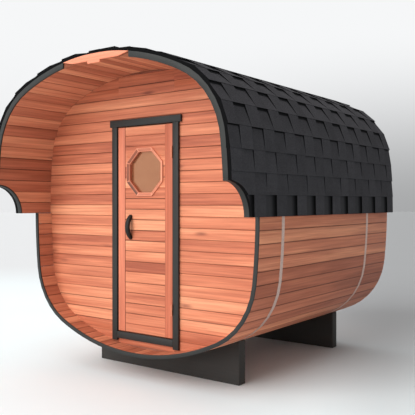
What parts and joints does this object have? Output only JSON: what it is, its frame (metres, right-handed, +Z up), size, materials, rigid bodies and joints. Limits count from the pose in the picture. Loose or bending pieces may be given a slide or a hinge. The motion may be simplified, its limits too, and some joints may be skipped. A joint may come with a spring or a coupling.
{
  "type": "barrel sauna",
  "caption": "Rounded-square stave barrel sauna on two cradles, with a shingled hood over the porch, a recessed board front and a hinged door with an octagonal window.",
  "frame": {"origin": "on the ground under the middle of the barrel", "axes": "+Z up, +Y from the front towards the rear along the barrel's axis, +X to the right seen from the front"},
  "size_m": [2.5216, 2.772, 2.5903],
  "materials": {
    "cedar_staves": "planed, unfinished",
    "cedar_boards": "planed, unfinished",
    "cedar_door": "planed, unfinished",
    "grey_paint": "dark grey paint, satin",
    "cradle_paint": "black stain, matt",
    "shingles": "mineral granules on bitumen",
    "band_steel": "galvanised",
    "bronze_glass": "bronze tinted",
    "black_metal": "satin black",
    "bronze_metal": "bronze coated"
  },
  "bodies": {
    "barrel": {"front_cradle": "cradle_paint", "rear_cradle": "cradle_paint", "floor_staves": "cedar_staves", "right_lower_staves": "cedar_staves", "left_lower_staves": "cedar_staves", "right_eave_staves": "cedar_staves", "left_eave_staves": "cedar_staves", "right_upper_staves": "cedar_staves", "left_upper_staves": "cedar_staves", "crown_staves": "cedar_staves", "front_band": "band_steel", "rear_band": "band_steel", "right_roof_courses": "shingles", "left_roof_courses": "shingles", "ridge_course": "shingles", "right_hood_edging": "grey_paint", "left_hood_edging": "grey_paint", "right_cove_edging": "grey_paint", "left_cove_edging": "grey_paint", "rim_edging": "grey_paint", "crown_board": "cedar_boards", "front_wall_left": "cedar_boards", "front_wall_right": "cedar_boards", "front_wall_over_door": "cedar_boards", "front_wall_under_door": "cedar_boards", "rear_wall": "cedar_boards", "floor_deck": "cedar_boards", "left_jamb": "grey_paint", "right_jamb": "grey_paint", "door_head": "grey_paint", "door_sill": "grey_paint", "hinge_plates": "bronze_metal"},
    "door": {"door_left_stile": "cedar_door", "door_right_stile": "cedar_door", "door_panel": "cedar_boards", "window_frame": "cedar_door", "window_inner_frame": "cedar_door", "window_glass": "bronze_glass", "door_handle": "black_metal", "hinge_flaps": "bronze_metal"}
  },
  "joints": [
    {"name": "door_hinge", "type": "hinge", "parent": "barrel", "child": "door", "pos_m": [0.302, -0.8436, 0], "axis": [0, 0, 1], "range_deg": [0, 110]}
  ]
}
